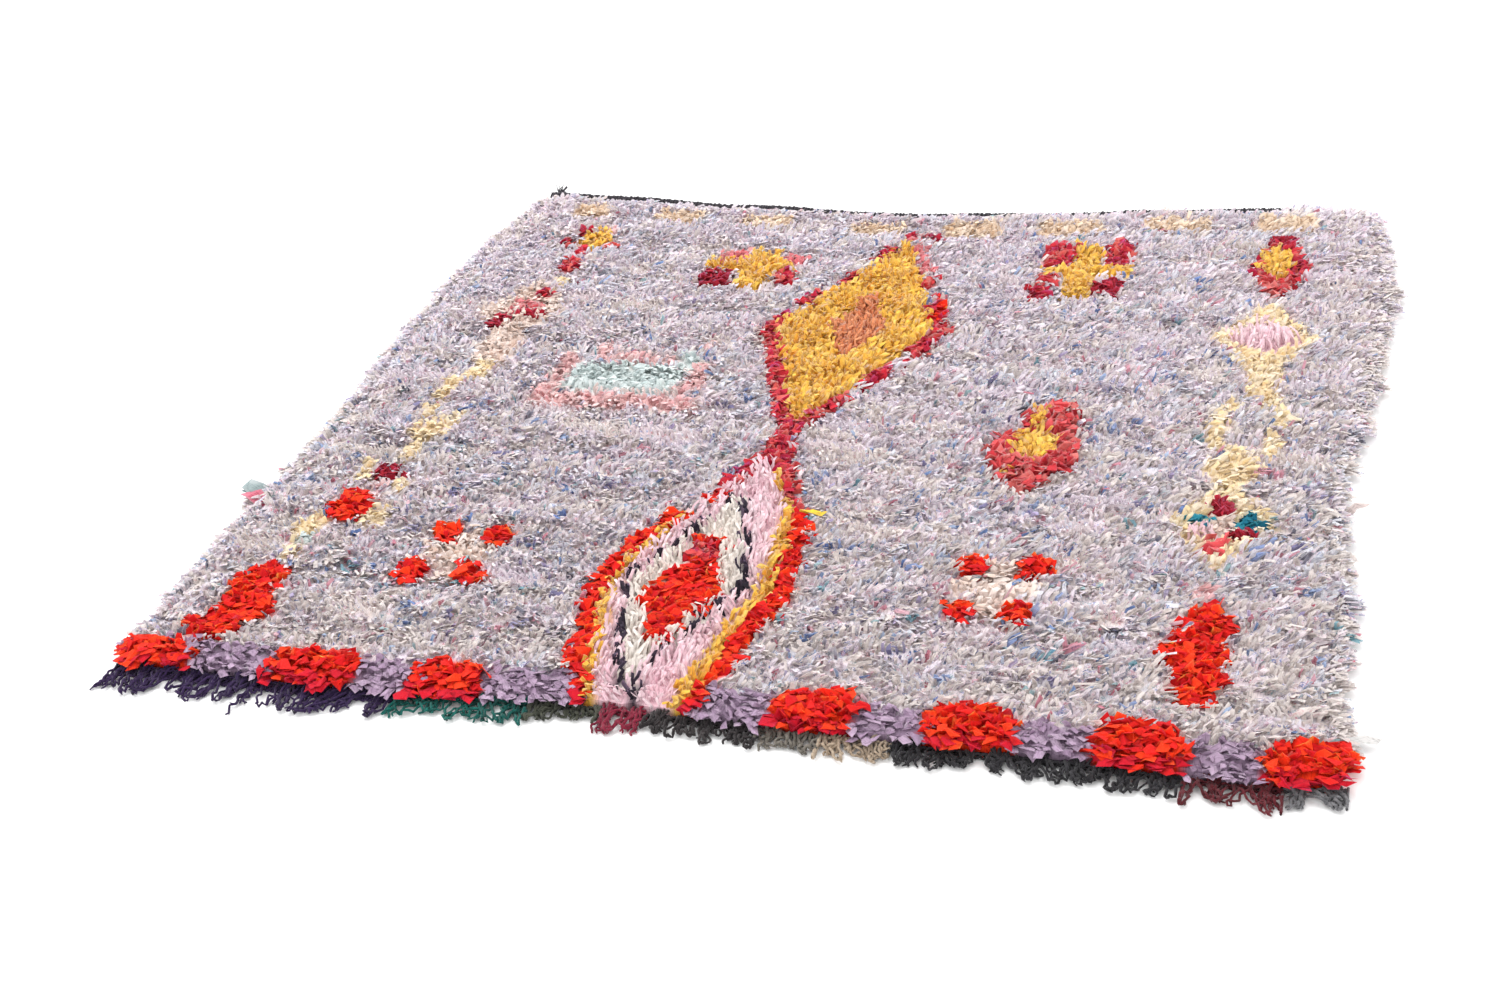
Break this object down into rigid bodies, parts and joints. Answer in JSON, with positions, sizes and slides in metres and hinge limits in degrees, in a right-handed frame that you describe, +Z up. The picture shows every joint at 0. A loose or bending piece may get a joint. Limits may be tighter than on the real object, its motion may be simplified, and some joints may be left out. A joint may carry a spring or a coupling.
{
  "type": "boucherouite rug",
  "caption": "Shaggy hand knotted rag rug that lies flat on a floor, with lozenge and cross motifs, a bordered near end with wool fringe and a wrapped far heading.",
  "frame": {"origin": "on the floor, under the middle of the whole rug with its pile and fringe", "axes": "+Z up out of the pile, +Y along the warp from the fringed near end to the far heading, +X along the weft"},
  "size_m": [1.5403, 1.5904, 0.0339],
  "materials": {
    "rag_pile": "matte cotton rags, mostly printed pale lilac grey, with orange red, golden and raspberry motifs",
    "heading_wool": "matte wool yarn",
    "fringe_aubergine_wool": "matte wool yarn",
    "fringe_teal_wool": "matte wool yarn",
    "fringe_moss_wool": "matte wool yarn",
    "fringe_crimson_wool": "matte wool yarn",
    "fringe_charcoal_wool": "matte wool yarn",
    "fringe_pewter_wool": "matte wool yarn",
    "fringe_sand_wool": "matte wool yarn",
    "fringe_black_wool": "matte wool yarn",
    "fringe_maroon_wool": "matte wool yarn",
    "fringe_ash_wool": "matte wool yarn"
  },
  "bodies": {
    "root": {"pile": "rag_pile", "far_heading": "heading_wool", "fringe_aubergine": "fringe_aubergine_wool", "fringe_teal": "fringe_teal_wool", "fringe_moss": "fringe_moss_wool", "fringe_crimson": "fringe_crimson_wool", "fringe_charcoal": "fringe_charcoal_wool", "fringe_pewter": "fringe_pewter_wool", "fringe_sand": "fringe_sand_wool", "fringe_black": "fringe_black_wool", "fringe_maroon": "fringe_maroon_wool", "fringe_ash": "fringe_ash_wool"}
  },
  "joints": []
}
